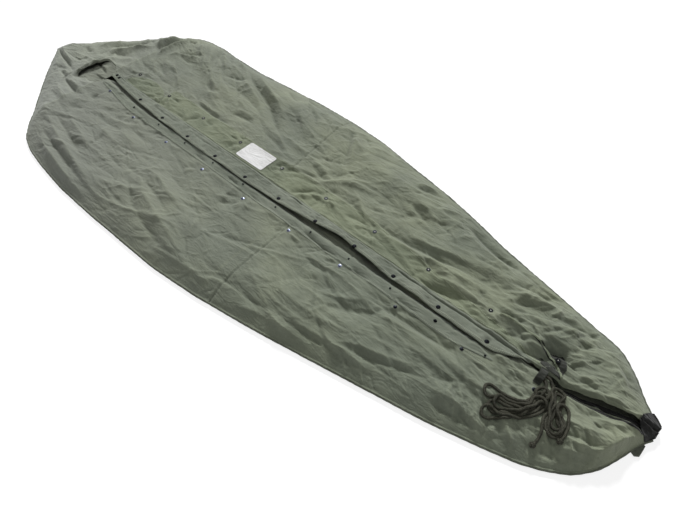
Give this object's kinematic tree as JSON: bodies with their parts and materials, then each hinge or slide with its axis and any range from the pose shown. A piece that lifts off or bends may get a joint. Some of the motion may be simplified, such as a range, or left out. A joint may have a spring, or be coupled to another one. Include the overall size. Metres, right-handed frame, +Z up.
{
  "type": "bivy sack",
  "caption": "Mummy-shaped cotton bivy sack lying flat: hood with a face opening, full front closure under a snap-fastened fly flap, outer snap rows, foot tie cords.",
  "frame": {"origin": "centre of the sack's footprint, on the ground it lies on", "axes": "+Z up, +Y along the sack towards the hood, +X towards the side that carries the fly flap"},
  "size_m": [0.78, 2.232, 0.0622],
  "materials": {
    "sack_cloth": "matte tightly woven water-repellent cotton, olive drab",
    "back_cloth": "matte tightly woven cotton, olive drab",
    "facing_cloth": "matte cotton facing, a little greener",
    "tape_cloth": "matte cotton, cross-ribbed, slightly lighter",
    "black_cloth": "matte black cloth",
    "label_cloth": "smooth white label cloth, blank",
    "cord": "braided dark olive cotton cord",
    "blackened_brass": "blackened snap fasteners",
    "worn_brass": "blackened snap fasteners, worn to bare metal on the rim"
  },
  "bodies": {
    "root": {"back_panel_upper": "back_cloth", "back_panel_lower": "back_cloth", "left_side_seam": "back_cloth", "right_side_seam": "back_cloth", "left_front_upper": "sack_cloth", "left_front_lower": "sack_cloth", "right_front_upper": "sack_cloth", "right_front_lower": "sack_cloth", "hood_left": "sack_cloth", "hood_right": "sack_cloth", "hood_facing": "tape_cloth", "hood_seam_tape": "tape_cloth", "foot_patch": "black_cloth", "foot_slit_facing": "tape_cloth", "cord_keeper": "tape_cloth", "cord_a_tube": "cord", "cord_a_hank": "cord", "cord_b_tube": "cord", "cord_b_hank": "cord", "placket_stud_foot": "blackened_brass", "placket_rivet_foot": "blackened_brass", "outer_studs_foot": "worn_brass", "outer_rivets_foot": "blackened_brass", "ring_snaps_foot": "worn_brass", "ring_rivets_foot": "blackened_brass"},
    "left_lapel": {"left_lapel_upper": "sack_cloth", "left_lapel_lower": "sack_cloth", "left_placket": "tape_cloth", "placket_studs": "blackened_brass", "placket_rivets": "blackened_brass", "outer_studs": "worn_brass", "outer_rivets": "blackened_brass"},
    "right_lapel": {"right_lapel_upper": "sack_cloth", "right_lapel_lower": "sack_cloth", "right_facing": "facing_cloth", "corner_patch": "facing_cloth", "fly_base": "tape_cloth", "label": "label_cloth", "ring_snaps": "worn_brass", "ring_rivets": "blackened_brass"},
    "fly": {"fly_flap": "tape_cloth", "fly_hem": "tape_cloth", "fly_caps": "blackened_brass", "fly_sockets": "blackened_brass"},
    "tab": {"tape_tab": "tape_cloth"}
  },
  "joints": [
    {"name": "right_front_fold", "type": "hinge", "parent": "root", "child": "right_lapel", "pos_m": [0.1319, 0, 0.04], "axis": [0.1289, 0.9917, 0], "range_deg": [0, 140]},
    {"name": "left_front_fold", "type": "hinge", "parent": "root", "child": "left_lapel", "pos_m": [-0.1355, 0, 0.04], "axis": [-0.1142, 0.9935, 0], "range_deg": [-70, 0]},
    {"name": "fly_lift", "type": "hinge", "parent": "right_lapel", "child": "fly", "pos_m": [0.00455, 0, 0.0456], "axis": [0, 1, 0], "range_deg": [0, 45]},
    {"name": "tab_swing", "type": "hinge", "parent": "root", "child": "tab", "pos_m": [-0.00451, -1.09659, 0.0051], "axis": [0.9048, -0.4258, 0], "range_deg": [-85, 0]}
  ],
  "couplings": [
    {"joint": "left_front_fold", "follows": "right_front_fold", "ratio": -0.5}
  ]
}
